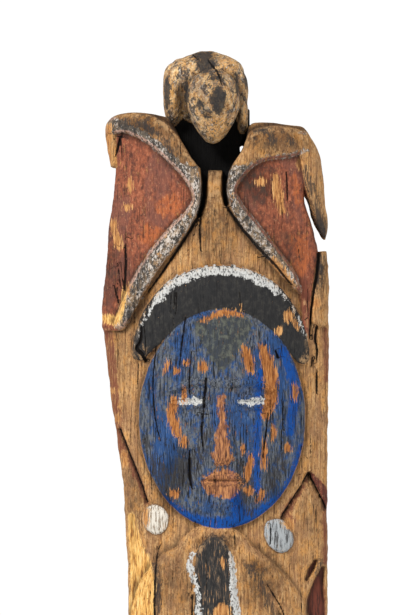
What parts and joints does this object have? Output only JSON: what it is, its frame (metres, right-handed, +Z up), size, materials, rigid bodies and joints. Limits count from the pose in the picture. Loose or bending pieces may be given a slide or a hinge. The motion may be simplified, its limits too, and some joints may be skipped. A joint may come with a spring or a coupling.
{
  "type": "ancestor figure",
  "caption": "Painted wooden ancestor figure carved in relief on a half-round log: bird's head over two wings, crescent headdress, large oval face, body with bent arms, low base.",
  "frame": {"origin": "middle of the base's underside", "axes": "+Z up along the log, -Y the carved front, +X to the right as seen from the front"},
  "size_m": [0.3406, 0.1694, 1.65],
  "materials": {
    "painted_wood": "matt weathered wood with worn earth and mineral paints in red, black, white and blue"
  },
  "bodies": {
    "root": {"ancestor_figure": "painted_wood"}
  },
  "joints": []
}
